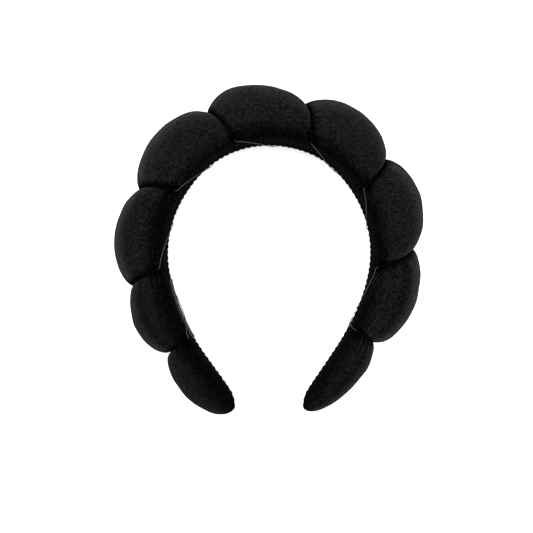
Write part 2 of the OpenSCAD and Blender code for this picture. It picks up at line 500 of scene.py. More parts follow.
@dataclass
class RollForm:
    """The shape of the roll under its velvet."""

    band: BandPlan
    thickness: float = 36.4
    face_limit: float = 0.9
    # How much sooner the depth fills than the crest, next to a pinch
    depth_haste: float = 0.6

    def station(self, index: int, u: np.ndarray) -> Station:
        """Describe sections of one puff.

        Args:
            index: The puff's number.
            u: Shares of its length.

        Returns:
            The sections.
        """
        puff, before, after = PUFFS[index], PINCHES[index], PINCHES[index + 1]
        rising = u < puff.peak
        short = np.where(rising, 1 - u / puff.peak, (u - puff.peak) / (1 - puff.peak))
        power = np.where(rising, puff.rise, puff.fall)
        full = np.sqrt(np.clip(1 - np.clip(short, 0, 1) ** power, 0, 1))
        high = np.where(rising, before.high, after.high)
        deep = np.where(rising, before.deep, after.deep)
        tip = deep == 0
        filled = np.where(tip, full, full**self.depth_haste)
        return Station(
            (before.at + (after.at - before.at) * u) * self.band.half_length,
            (high + (puff.top - high) * full) * self.thickness,
            deep + (1 - deep) * filled,
            (before.lean + (after.lean - before.lean) * u) * self.thickness,
        )

    def pinch(self, index: int) -> Station:
        """Describe the section at the bottom of a pinch.

        Args:
            index: The pinch's number.

        Returns:
            The section.
        """
        pinch = PINCHES[index]
        return Station(
            np.array(pinch.at * self.band.half_length),
            np.array(pinch.high * self.thickness),
            np.array(pinch.deep),
            np.array(pinch.lean * self.thickness),
        )

    def rim_place(
        self, station: Station, f: np.ndarray, out: np.ndarray | float = 0.0
    ) -> tuple[np.ndarray, np.ndarray, np.ndarray]:
        """Find places on the rim, which is part of an ellipse.

        Args:
            station: The sections.
            f: Places round the rim, from the inside face's back edge at -1, over
                the crest at 0, to its front edge at 1.
            out: Distances out from the rim.

        Returns:
            The length along the band, distance out and height of each place.
        """
        q = station.along + station.shift * f
        b = np.maximum(self.band.half_depth(q) * station.share, TINY)
        w = np.minimum(self.band.face_half(q), self.face_limit * b)
        a = (station.crest - self.band.face_out(q, w)) / (1 + np.sqrt(1 - (w / b) ** 2))
        a = np.maximum(a, TINY)
        t = (math.pi - np.arcsin(w / b)) * f
        across, over = np.cos(t) / a, np.sin(t) / b
        size = np.sqrt(across**2 + over**2)
        n = station.crest - a + a * np.cos(t) + out * across / size
        return q, n, b * np.sin(t) + out * over / size

    def rim(self, station: Station, f: np.ndarray, out: np.ndarray | float = 0.0) -> np.ndarray:
        """Return the frame's points for places on the rim."""
        return self.band.place(*self.rim_place(station, f, out))

    def face(self, station: Station, f: np.ndarray) -> np.ndarray:
        """Find points of the inside face.

        Args:
            station: The sections.
            f: Places across the face, from -1 at its back edge to 1 at its front.

        Returns:
            Points of the frame, (..., 3).
        """
        q = station.along + station.shift * f
        b = self.band.half_depth(q) * station.share
        z = np.minimum(self.band.face_half(q), self.face_limit * b) * f
        return self.band.place(q, self.band.face_out(q, z), z)


@dataclass(frozen=True)
class Relief:
    """Heights of the velvet's fine folds over one puff."""

    u: np.ndarray
    f: np.ndarray
    height: np.ndarray

    def at(self, u: np.ndarray, f: np.ndarray) -> np.ndarray:
        """Read the heights at shares u of the puff's length and each column's place f."""
        rows = np.stack([np.interp(f, self.f, row) for row in self.height])
        return np.stack([np.interp(u[:, k], self.u, rows[:, k]) for k in range(len(f))], axis=1)


@dataclass
class GatheredCover:
    """The velvet as loose cloth, blown up over the roll to find its gathers.

    The cover is cut wider than the pinches that hold it, so it buckles beside them. It
    is simulated many times larger than life, where the cloth solver's forces suit it.
    Only what is finer than the smoothing is kept, so the roll keeps its shape.
    """

    form: RollForm
    rim_points: int = 121
    face_points: int = 11
    rows: int = 18
    enlarged: float = 20.0
    # Share of even spacing in its rows, which are closer beside the pinches otherwise
    evenness: float = 0.25
    # The share of a puff's length at which it starts at a tip
    tip_start: float = 0.004
    quality: int = 6
    frames: int = 20
    pressure: float = 4.0
    mass: float = 0.05
    tension: float = 15.0
    shear: float = 2.0
    bending: float = 15.0
    extra_width: float = 0.3
    # Where the extra width starts to fade and where it ends, beside a pinch
    extra_reach: tuple[float, float] = (2.0, 16.0)
    unevenness: float = 0.08
    seed: int = 11
    smoothing: int = 9
    # The foam under the real velvet leaves this much of the loose cloth's folds
    kept: float = 0.4
    cap: float = 0.5

    def _shares(self, index: int) -> np.ndarray:
        """Space the rows of one puff, closer at its ends.

        Args:
            index: The puff's number.

        Returns:
            Shares of its length.
        """
        even = np.linspace(0, 1, self.rows + 1)
        u = (1 - self.evenness) * (1 - np.cos(math.pi * even)) / 2 + self.evenness * even
        if index == 0:
            u[0] = self.tip_start
        if index == len(PUFFS) - 1:
            u[-1] = 1 - self.tip_start
        return u

    def _grid(self) -> np.ndarray:
        """Lay the cover over the roll, before it is blown up.

        Returns:
            Its points, (rows, columns, 3).
        """
        rim = np.linspace(-1, 1, self.rim_points)[None, :]
        face = np.linspace(1, -1, self.face_points + 2)[None, 1:-1]
        rows = []
        for i in range(len(PUFFS)):
            u = self._shares(i)[:, None]
            around = self.form.rim(self.form.station(i, u + 0 * rim), rim)
            inside = self.form.face(self.form.station(i, u + 0 * face), face)
            rows.append(np.concatenate([around, inside], axis=1)[1 if i else 0 :])
        return np.concatenate(rows)

    def _blow_up(self, points: np.ndarray, held: np.ndarray, snug: np.ndarray) -> np.ndarray:
        """Inflate the cover with the cloth solver.

        Args:
            points: The cover's points, (rows, columns, 3), in millimetres.
            held: Whether each point is held where it is.
            snug: How snugly the cloth is cut at each point, from 0, wide, to 1.

        Returns:
            The points once inflated.
        """
        flat = (points.reshape(-1, 3) * self.enlarged).astype(float)
        faces = [tuple(f) for f in grid_faces(*points.shape[:2], True).tolist()]
        cover = make_piece("cover", flat, faces)
        group = cover.vertex_groups.new(name="held")
        group.add(np.nonzero(held.ravel())[0].tolist(), 1.0, "REPLACE")
        group = cover.vertex_groups.new(name="snug")
        # Points are added to a group by weight, so the snugness is rounded to tenths
        tenths = np.round(snug.ravel() * 10)
        for tenth in range(1, 11):
            group.add(np.nonzero(tenths == tenth)[0].tolist(), tenth / 10, "REPLACE")
        cloth = cover.modifiers.new("cloth", "CLOTH")
        cloth.settings.quality = self.quality
        cloth.settings.mass = self.mass
        cloth.settings.tension_stiffness = self.tension
        cloth.settings.compression_stiffness = self.tension
        cloth.settings.shear_stiffness = self.shear
        cloth.settings.bending_stiffness = self.bending
        cloth.settings.vertex_group_mass = "held"
        cloth.settings.vertex_group_shrink = "snug"
        cloth.settings.shrink_min = -self.extra_width
        cloth.settings.shrink_max = 0.0
        cloth.settings.use_pressure = True
        cloth.settings.uniform_pressure_force = self.pressure
        cloth.settings.effector_weights.gravity = 0.0
        cloth.collision_settings.use_collision = False
        cloth.point_cache.frame_start = 1
        cloth.point_cache.frame_end = self.frames
        scene = bpy.context.scene
        for number in range(1, self.frames + 1):
            scene.frame_set(number)
        blown = cover.evaluated_get(bpy.context.evaluated_depsgraph_get()).to_mesh()
        places = np.empty(len(flat) * 3)
        blown.vertices.foreach_get("co", places)
        mesh = cover.data
        bpy.data.objects.remove(cover)
        bpy.data.meshes.remove(mesh)
        scene.frame_set(1)
        return places.reshape(points.shape) / (self.enlarged * MM)

    def reliefs(self) -> list[Relief]:
        """Find the gathers of every puff.

        Returns:
            One relief a puff.
        """
        f = np.linspace(-1, 1, self.rim_points)
        base = self._grid()
        rows, columns = base.shape[:2]
        pinches = [self.rows * i for i in range(1, len(PUFFS))]
        steps = np.linalg.norm(np.diff(base, axis=0), axis=2)
        run = np.concatenate([np.zeros((1, columns)), np.cumsum(steps, axis=0)])
        away = np.min([np.abs(run - run[p]) for p in pinches], axis=0)
        snug = smoothstep(*self.extra_reach, away)
        snug[:, self.rim_points :] = 1
        held = np.zeros((rows, columns), bool)
        held[:, self.rim_points - 1 :] = held[:, :1] = True
        held[pinches] = held[:2] = held[-2:] = True
        out = grid_normals(base)
        rng = np.random.default_rng(self.seed)
        uneven = rng.normal(0, self.unevenness, (1, columns))
        uneven = uneven + rng.normal(0, self.unevenness / 2, (rows, columns))
        blown = self._blow_up(base + out * np.where(held, 0, uneven)[..., None], held, snug)
        moved = ((blown - base) * out).sum(axis=2)[:, : self.rim_points]
        even = np.ones(self.smoothing) / self.smoothing
        padded = np.pad(moved, ((0, 0), (self.smoothing // 2, self.smoothing // 2)), mode="edge")
        fine = moved - np.stack([np.convolve(row, even, "valid") for row in padded])
        loose = np.sqrt(1 - snug[:, : self.rim_points])
        fine = np.clip(fine * self.kept, -self.cap, self.cap) * loose
        LOG.info("gathers up to %.2f mm, from %d points", np.abs(fine).max(), rows * columns)
        return [
            Relief(self._shares(i), f, fine[self.rows * i : self.rows * (i + 1) + 1])
            for i in range(len(PUFFS))
        ]


def grid_normals(points: np.ndarray) -> np.ndarray:
    """Find the outward directions of a closed grid of rings.

    Args:
        points: The grid, (rings, points a ring, 3).

    Returns:
        Unit vectors in the same shape.
    """
    along = np.gradient(points, axis=0)
    around = np.roll(points, -1, axis=1) - np.roll(points, 1, axis=1)
    normal = np.cross(around, along)
    return normal / np.maximum(np.linalg.norm(normal, axis=2, keepdims=True), 1e-9)


@dataclass
class FoamLumps:
    """The foam's slight unevenness, as a few long waves in many directions."""

    height: float = 0.12
    waves: int = 14
    lengths: tuple[float, float] = (9.0, 22.0)
    seed: int = 5

    def at(self, points: np.ndarray) -> np.ndarray:
        """Measure how far the foam stands proud.

        Args:
            points: Points of the frame, (..., 3).

        Returns:
            Heights in millimetres, one a point.
        """
        rng = np.random.default_rng(self.seed)
        total = np.zeros(points.shape[:-1])
        for _ in range(self.waves):
            direction = rng.normal(size=3)
            direction *= 2 * math.pi / np.linalg.norm(direction) / rng.uniform(*self.lengths)
            total += np.sin(points @ direction + rng.uniform(0, 2 * math.pi))
        return self.height * total / math.sqrt(self.waves / 2)


class Piece(ABC):
    """A piece of the headband, which builds its mesh and dresses it."""

    @abstractmethod
    def build(self) -> bpy.types.Object:
        """Build the piece's mesh."""

    def dress(self, material: bpy.types.Material, slot: str, *nodes: str) -> bpy.types.Object:
        """Build the piece and give it its material and its body.

        Args:
            material: Its finish.
            slot: The record's material slot for its finish; it is not used.
            nodes: The solids that it stands for.

        Returns:
            The new object.
        """
        piece = self.build()
        piece.data.materials.append(material)
        if nodes:
            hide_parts(*nodes)
        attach(piece, "root")
        LOG.info("%s: %d faces", piece.name, len(piece.data.polygons))
        return piece


@dataclass
class VelvetRoll(Piece):
    """The velvet-covered foam roll with its nine puffs."""

    form: RollForm
    reliefs: list[Relief]
    lumps: FoamLumps = field(default_factory=FoamLumps)
    rim_points: int = 193
    # How much closer its columns are at the inside face's edges than on average
    closer: float = 0.45
    face_points: int = 19
    rows: int = 38
    # The hollow that the thread lies in, as (beside the pinch, above its bottom)
    seat: tuple[tuple[float, float], ...] = (
        (0.0, 0.0), (0.52, 0.05), (0.64, 0.5), (0.45, 0.95), (0.06, 1.32),
    )
    # The puff's own rows begin this high above the hollow, or this far from the pinch
    seat_top: float = 1.55
    seat_run: float = 2.4
    least_seat: float = 0.004
    # How many sections beside a pinch are looked at to find where those are
    samples: int = 240
    # Over this share of the rim, where the thread comes out, the closed lips part
    seat_opens: float = 0.055
    # How far from the pinch the puff's own rows begin where there is no hollow
    bare_run: float = 0.75
    tip_start: float = 0.0006
    # Share of even spacing in its rows, which are closer beside the pinches otherwise
    evenness: float = 0.4
    # Where folds and lumps start to show: from a pinch and from a tip in millimetres, and
    # where they end, as places round the rim
    fold_start: tuple[float, float] = (0.6, 2.6)
    tip_smooth: tuple[float, float] = (0.0, 3.0)
    edge_smooth: tuple[float, float] = (0.93, 1.0)
    # How much a fan's folds part as they run out, and the wave that makes them uneven
    fans_part: float = 0.15
    fans_vary: tuple[float, float] = (1.3, 2.1)
    # Painted shade beside the pinches: where it fades out after a pinch and before one, and
    # how much painted light is left at each. A puff's end leans over the next one's start,
    # so the start gets the darker painted shade
    crease_shade_fades: tuple[tuple[float, float], tuple[float, float]] = ((0.8, 6.0), (0.3, 2.6))
    lit_at_creases: tuple[float, float] = (0.05, 0.3)
    # Painted shade by the inside face: how far inside and outside a puff's dark edge it fades
    inner_shade_fades: tuple[float, float] = (4.0, 6.4)
    # Places round the rim where the crest's painted highlight fades, and the middle and reach
    # of the band of painted shade past it
    shine_fades: tuple[float, float] = (0.22, 0.42)
    band_place: tuple[float, float] = (0.45, 0.08)
    # Painted shade deepest in the creases, where hardly any light gets in: how far from a
    # pinch it fades, and how dark it is there
    crease_shade_reach: tuple[float, float] = (0.5, 1.8)
    crease_shade: float = -0.6
    # Painted highlight on the fans' and the gathers' ridges and painted shade in their
    # furrows, for each millimetre of their height
    shading_on_fans: float = 2.5
    shading_on_gathers: float = 0.9

    def _columns(self) -> tuple[np.ndarray, np.ndarray]:
        """Space the columns of points, closer at the inside face's edges.

        Returns:
            Places round the rim and places across the inside face.
        """
        even = np.linspace(-1, 1, self.rim_points)
        rim = even + self.closer * np.sin(math.pi * even) / math.pi
        face = np.linspace(1, -1, self.face_points + 2)[1:-1]
        return rim, face

    def _rings(self, index: int, u: np.ndarray) -> np.ndarray:
        """Find the rings of one puff.

        Args:
            index: The puff's number.
            u: Shares of its length, as (rings, points a ring).

        Returns:
            Points of the frame, (rings, points a ring, 3).
        """
        rim, face = self._columns()
        count = self.rim_points
        return np.concatenate(
            [
                self.form.rim(self.form.station(index, u[:, :count]), rim[None, :]),
                self.form.face(self.form.station(index, u[:, count:]), face[None, :]),
            ],
            axis=1,
        )

    def _normals(self, index: int) -> np.ndarray:
        """Find the way out of the rim at the bottom of a pinch.

        Args:
            index: The pinch's number.

        Returns:
            A unit vector for each place round the rim, and zeros across the face.
        """
        rim, face = self._columns()
        station = self.form.pinch(index)
        step = 0.5
        out = self.form.rim(station, rim, step) - self.form.rim(station, rim)
        out /= np.linalg.norm(out, axis=-1, keepdims=True)
        return np.concatenate([out, np.zeros((len(face), 3))])

    def _seat_rows(self, index: int, end: int) -> tuple[np.ndarray, np.ndarray | None]:
        """Shape the hollow for the thread at one end of a puff.

        Args:
            index: The puff's number.
            end: 0 for its first pinch, 1 for its last.

        Returns:
            How far in the puff's own rows begin, one share a column, and the hollow's
            rows outwards from the pinch, or None at a tip.
        """
        columns = self.rim_points + self.face_points
        if PINCHES[index + end].deep == 0:
            return np.full(columns, self.tip_start), None
        # Shares of the puff's length up to its half, closest beside the pinch
        samples = np.concatenate([[0], np.geomspace(1e-4, 0.5, self.samples)])
        rings = self._rings(index, np.abs(end - samples)[:, None] * np.ones(columns))
        normals = self._normals(index + end)
        height = np.maximum.accumulate(((rings - rings[0]) * normals).sum(axis=-1), axis=0)
        step = np.linalg.norm(np.diff(rings, axis=0), axis=-1)
        run = np.concatenate([np.zeros((1, columns)), np.cumsum(step, axis=0)])
        rim, face = self._columns()
        ends = np.where(rim > 0, PINCHES[index + end].leaves, PINCHES[0].leaves)
        weight = 1 - smoothstep(-self.seat_opens, 0, np.abs(rim) - ends)
        weight = np.concatenate([weight, 0 * face])

        def reached(level: float, rise: np.ndarray) -> np.ndarray:
            """Find the share of the puff's length at which each column is at a level."""
            return np.array([np.interp(level, rise[:, k], samples) for k in range(columns)])

        start = np.minimum(reached(self.seat_top, height), reached(self.seat_run, run))
        bare = reached(self.bare_run, run)
        start = bare + (np.maximum(start, self.least_seat) - bare) * weight
        beside = np.cross(normals, np.gradient(rings[0], axis=0))
        beside /= np.maximum(np.linalg.norm(beside, axis=-1, keepdims=True), 1e-9)
        beside *= np.sign((beside * (rings[-1] - rings[0])).sum(axis=-1, keepdims=True))
        hollow = []
        for number, (aside, above) in enumerate(self.seat):
            near = self._rings(index, np.abs(end - start * number / len(self.seat))[None, :])[0]
            seated = rings[0] + beside * aside + normals * above
            hollow.append(near + (seated - near) * weight[:, None])
        return start, np.stack(hollow)

    def _tucks(self, index: int, away: list[np.ndarray]) -> np.ndarray:
        """Return the heights of the puff's fans of folds.

        Args:
            index: The puff's number.
            away: Distance of each point from the puff's first and last pinch.

        Returns:
            Heights in millimetres, (rows, rim points).
        """
        rim = self._columns()[0][None, :]
        total = np.zeros((away[0].shape[0], self.rim_points))
        for tuck in TUCKS:
            if tuck.puff != index:
                continue
            far = away[int(tuck.from_end)][:, : self.rim_points]
            across = (rim - tuck.round) / tuck.spread
            fan = np.clip(1 - across**2, 0, 1)
            across = across - tuck.slant * far / tuck.spread
            phase = math.pi * tuck.folds * across * (1 - self.fans_part * far / tuck.reach)
            phase = phase + self.fans_vary[0] * np.sin(self.fans_vary[1] * across)
            total += tuck.height * np.cos(phase) * fan * np.exp(-((far / tuck.reach) ** 2))
        return total

    def _puff_rows(self, index: int) -> tuple[np.ndarray, np.ndarray]:
        """Build the rows of one puff, with the thread's hollow at each pinch.

        Args:
            index: The puff's number.

        Returns:
            Points of the frame, (rows, points a ring, 3), and its painted light and shade at
            each: below 0 for the deepest painted shade in the creases, 0 for full painted shade,
            up to 1 where lit, and more for the painted highlight by the crest.
        """
        seats = [self._seat_rows(index, end) for end in (0, 1)]
        eased = (1 - np.cos(np.linspace(0, math.pi, self.rows))) / 2
        eased = (1 - self.evenness) * eased + self.evenness * np.linspace(0, 1, self.rows)
        u = seats[0][0] + (1 - seats[1][0] - seats[0][0]) * eased[:, None]
        middle = self._rings(index, u)
        step = np.linalg.norm(np.diff(middle, axis=0), axis=-1)
        run = np.concatenate([np.zeros((1, step.shape[1])), np.cumsum(step, axis=0)])
        away = [run, run[-1] - run]
        beside = [d if seats[e][1] is not None else d + NO_PINCH for e, d in enumerate(away)]
        near = np.minimum(*beside)
        proud = self.lumps.at(middle)
        rim = self._columns()[0]
        count = self.rim_points
        fans = self._tucks(index, away)
        gathers = self.reliefs[index].at(u[:, :count], rim)
        proud[:, :count] += fans + gathers
        edge = 1 - smoothstep(*self.edge_smooth, np.abs(rim))
        edge = np.concatenate([edge, np.zeros(self.face_points)])
        tips = smoothstep(*self.tip_smooth, np.minimum(*away))
        proud = proud * edge * smoothstep(*self.fold_start, near) * tips
        middle = middle + grid_normals(middle) * proud[..., None]
        middle[..., 2] = np.maximum(middle[..., 2], 0)
        # Painted highlight on the ridges of the fans and gathers, painted shade in their furrows
        ridges = self.shading_on_fans * fans + self.shading_on_gathers * gathers
        painted_shading = self._paint_shading(index, u, beside)
        painted_shading[:, :count] += ridges * smoothstep(*self.fold_start, near[:, :count])
        parts, piles = [middle], [np.clip(painted_shading, self.crease_shade, 1 + max(PUFFS[index].shine, 0))]
        for end, (_, hollow) in enumerate(seats):
            if hollow is not None:
                place = end * len(parts)
                parts.insert(place, hollow[::-1] if end else hollow)
                # The thread's hollows get the deepest painted shade
                piles.insert(place, np.full(hollow.shape[:2], self.crease_shade))
        return np.concatenate(parts), np.concatenate(piles)

    def _paint_shading(self, index: int, u: np.ndarray, beside: list[np.ndarray]) -> np.ndarray:
        """Work out the painted light and shade over one puff.

        Args:
            index: The puff's number.
            u: Shares of its length, as (rows, points a ring).
            beside: Distance of each point from the puff's first and last pinch.

        Returns:
            Below 0 for the deepest painted shade in the creases, 0 for full painted shade,
            up to 1 where lit, and more by the crest, in the same shape.
        """
        rim, face = self._columns()
        station = self.form.station(index, u[:, : self.rim_points])
        q, n, _ = self.form.rim_place(station, rim[None, :])
        out = n - self.form.band.face_out(q, np.zeros_like(q))
        puff = PUFFS[index]
        middle, reach = self.band_place
        shaded_side, lit_side = self.inner_shade_fades
        # Painted highlight by the crest, a band of painted shade past it, and painted shade by
        # the inside face
        share = puff.open + puff.shine * (1 - smoothstep(*self.shine_fades, np.abs(rim)))
        share = share - puff.band * np.exp(-(((np.abs(rim) - middle) / reach) ** 2))
        share = share * smoothstep(puff.dark - shaded_side, puff.dark + lit_side, out)
        share = np.concatenate([share, np.zeros((len(u), len(face)))], axis=1)
        # Painted shade beside both pinches, deepest right in the creases
        for opens, least, far in zip(self.crease_shade_fades, self.lit_at_creases, beside):
            share = share * (least + (1 - least) * smoothstep(*opens, far))
        return share + self.crease_shade * (1 - smoothstep(*self.crease_shade_reach, np.minimum(*beside)))

    def build(self) -> bpy.types.Object:
        """Build the velvet skin, with its painted light and shade stored on its points.

        Returns:
            The new object.
        """
        puffs = [self._puff_rows(i) for i in range(len(PUFFS))]
        grid = np.concatenate([puffs[0][0]] + [rows[1:] for rows, _ in puffs[1:]])
        painted_shading = np.concatenate([puffs[0][1]] + [piles[1:] for _, piles in puffs[1:]])
        piece = make_piece("velvet_roll", *capped_mesh(grid))
        # The middles of the two tips get half the painted light
        values = np.concatenate([painted_shading.ravel(), [0.5, 0.5]]).astype(np.float32)
        piece.data.attributes.new("painted_shading", "FLOAT", "POINT").data.foreach_set("value", values)
        return piece


@dataclass
class RibbedRibbon(Piece):
    """The ribbed ribbon on the inside face, closed all round."""

    band: BandPlan
    lift: float = 0.25
    thickness: float = 1.0
    margin: float = 1.2
    end: float = 3.0
    rib_pitch: float = 3.5
    rib_height: float = 0.64
    # Below 1 the ribs are broad and the furrows between them narrow
    rib_power: float = 0.6
    # How far the ribs' ridges stand over the ribbon's plain thickness
    ridge: float = 0.1
    # It thins to this share of its thickness over this length at each end
    end_share: float = 0.3
    end_run: float = 5.0
    # How far its two long edges are rounded off, and the share of its half width where
    # that starts
    rounding: float = 0.35
    edge_start: float = 0.8
    steps_a_rib: int = 8
    steps_across: int = 14
    # The stretch without ribs, under the strip, as lengths along the band, and over how
    # much of it the ribs fade
    plain: tuple[float, float] = (0.0, 0.0)
    ribs_fade: float = 1.0

    def half_width(self, q: np.ndarray) -> np.ndarray:
        """Half the ribbon's width."""
        return self.band.face_half(q) - self.margin * self.band.heel(q)

    def top(self, q: np.ndarray) -> np.ndarray:
        """Find how high the ribbon's ribbed side is.

        Args:
            q: Lengths along the band.

        Returns:
            Distances from the inside face.
        """
        ribs = np.abs(np.sin(math.pi * q / self.rib_pitch)) ** self.rib_power
        ribbed = self.ridge + self.rib_height * (ribs - 1)
        start, end = self.plain
        bare = smoothstep(start - self.ribs_fade, start, q)
        bare = bare * (1 - smoothstep(end, end + self.ribs_fade, q))
        full = smoothstep(0, self.end_run, self.band.half_length - self.end - np.abs(q))
        full = self.end_share + (1 - self.end_share) * full
        return self.lift + (self.thickness + ribbed * (1 - bare)) * full

    def build(self) -> bpy.types.Object:
        """Build the ribbon.

        Returns:
            The new object.
        """
        reach = self.band.half_length - self.end
        count = int(2 * reach / self.rib_pitch * self.steps_a_rib)
        q = np.linspace(-reach, reach, count)[:, None]
        across = np.linspace(-1, 1, self.steps_across + 1)[None, :]
        wide = self.half_width(q)
        rounded = self.rounding * smoothstep(self.edge_start, 1.0, np.abs(across))
        outer = self.band.over_face(q + 0 * across, wide * across, self.top(q) - rounded)
        inner = self.band.over_face(q + 0 * across, wide * across, self.lift)
        return closed_ribbon("ribbed_ribbon", outer, inner)


@dataclass
class PlainStrip(Piece):
    """The smooth strip sewn on the ribbon between the first two pinches."""

    band: BandPlan
    middle: float
    lift: float = 1.45
    thickness: float = 0.5
    width: float = 11.0
    # How far its middle is from the band's middle, towards the front
    forward: float = 1.0
    length: float = 38.0
    # The turned hems' length, over how much of it they end, and the single cloth's thickness
    hem: float = 2.2
    hem_eases: float = 0.4
    single: float = 0.62
    # Where its long edges start to be rounded off, and how far they are
    edge_start: float = 0.86
    rounding: float = 0.16
    # How far past each of its ends the ribbon has no ribs
    no_ribs: float = 1.5
    rows: int = 77
    columns: int = 19

    @property
    def span(self) -> tuple[float, float]:
        """Where the strip begins and ends along the band."""
        return self.middle - self.length / 2, self.middle + self.length / 2

    @property
    def plain(self) -> tuple[float, float]:
        """Where the stretch without ribs begins and ends."""
        return self.span[0] - self.no_ribs, self.span[1] + self.no_ribs

    def build(self) -> bpy.types.Object:
        """Build the strip, with a turned hem at each end.

        Returns:
            The new object.
        """
        q = np.linspace(*self.span, self.rows)[:, None]
        across = np.linspace(-1, 1, self.columns)[None, :]
        from_end = self.length / 2 - np.abs(q - self.middle)
        fold = 1 - smoothstep(self.hem - self.hem_eases, self.hem, from_end)
        edge = smoothstep(self.edge_start, 1.0, np.abs(across))
        layers = self.single + (1 - self.single) * fold
        top = self.lift + self.thickness * layers - self.rounding * edge
        across = self.forward + self.width / 2 * across
        outer = self.band.over_face(q + 0 * across, across, top)
        inner = self.band.over_face(q + 0 * across, across, self.lift)
        return closed_ribbon("plain_strip", outer, inner)


@dataclass
class BindingThread(Piece):
    """The nylon thread, from the first pinch to the last."""

    form: RollForm
    diameter: float = 0.45
    gap: float = 0.15
    over_ribbon: float = 1.46
    over_strip: float = 0.6
    # How much lower it lies between the two rows of stitches, and the shares of the inside
    # face's half width between which it comes up
    sinks: float = 0.2
    comes_up: tuple[float, float] = (0.16, 0.36)
    # The share at which it goes from the velvet over to the ribbon, and the rim's place there
    meets_edge: float = 0.98
    rim_end: float = 0.992
    groove_steps: int = 96
    cross_steps: int = 12
    easing: int = 3
    sides: int = 10
    # It rises this far as it comes out of a crease, over this much of the rim
    rise: float = 0.42
    rises_over: float = 0.04
    # How much of its run over the lip it needs to get there
    to_lip: float = 0.62
    # Above 1 it hugs the ribbon's front edge before it crosses
    hug: float = 1.6

    def _out(self, index: int) -> float:
        """Distance of the thread's middle from the inside face where it follows a pinch."""
        extra = self.over_strip if index == 1 else 0.0
        return self.over_ribbon + extra + self.gap + self.diameter / 2

    def _over_ribbon(self, q: np.ndarray, share: np.ndarray, out: float) -> np.ndarray:
        """Lead the thread over the ribbon, by shares of the half width, 1 at the front."""
        out = out - self.sinks * (1 - smoothstep(*self.comes_up, np.abs(share)))
        return self.form.band.over_face(q, self.form.band.face_half(q) * share, out)

    def _from_crease(self, index: int) -> np.ndarray:
        """Lead the thread over the velvet's shoulder, from a crease to the ribbon's edge.

        Args:
            index: The pinch's number.

        Returns:
            Points of the thread's middle line.
        """
        pinch = PINCHES[index]
        t = np.linspace(0, 1, 2 + int(pinch.runs))[1:]
        length = (PINCHES[index + 1].at - pinch.at) * self.form.band.half_length
        station = self.form.station(index, self.to_lip * pinch.runs * t / length)
        f = pinch.leaves + (self.rim_end - pinch.leaves) * t
        return self.form.rim(station, f, self.gap + self.diameter / 2 + self.rise)

    def path(self) -> np.ndarray:
        """Lead the thread round every pinch and across the ribbon between them.

        Returns:
            Points of its middle line.
        """
        last = len(PINCHES) - 2
        lift = self.gap + self.diameter / 2
        down = np.linspace(self.meets_edge, 0, self.cross_steps)
        parts = []
        for i in range(1, last + 1):
            station, lead, runs = self.form.pinch(i), PINCHES[i].lead, PINCHES[i].runs
            f = np.linspace(-PINCHES[0].leaves, PINCHES[i].leaves, self.groove_steps + 1)
            out_of_it = 1 - smoothstep(0, self.rises_over, np.minimum(f - f[0], f[-1] - f))
            front = station.along + station.shift
            if i == 1:
                start = station.along - station.shift + 0 * down
                parts.append(self._over_ribbon(start, -down[::-1], self._out(0)))
            parts.append(self.form.rim(station, f, lift + self.rise * out_of_it))
            if i == last:
                parts.append(self._over_ribbon(front + lead * (1 - down), down, self._out(i)))
                break
            following = self.form.pinch(i + 1)
            parts.append(self._from_crease(i))
            q = front + runs + (lead - runs) * (1 - down**self.hug)
            rest = following.along - following.shift - q[-1]
            parts.append(self._over_ribbon(q, down, self._out(i)))
            back = down[::-1][1:]
            parts.append(self._over_ribbon(q[-1] + rest * back, -back, self._out(i)))
        return smoothed(np.concatenate(parts), self.easing)

    def build(self) -> bpy.types.Object:
        """Build the thread from its middle line."""
        rings = thread_rings(self.path(), self.diameter / 2, self.sides)
        return make_piece("binding_thread", *capped_mesh(rings))


def smoothed(path: np.ndarray, rounds: int) -> np.ndarray:
    """Ease the corners of a path.

    Args:
        path: Points along it.
        rounds: How many times each point moves halfway to the middle of its neighbours.

    Returns:
        The eased points, with both ends kept.
    """
    for _ in range(rounds):
        path = np.concatenate([path[:1], (path[:-2] + 2 * path[1:-1] + path[2:]) / 4, path[-1:]])
    return path


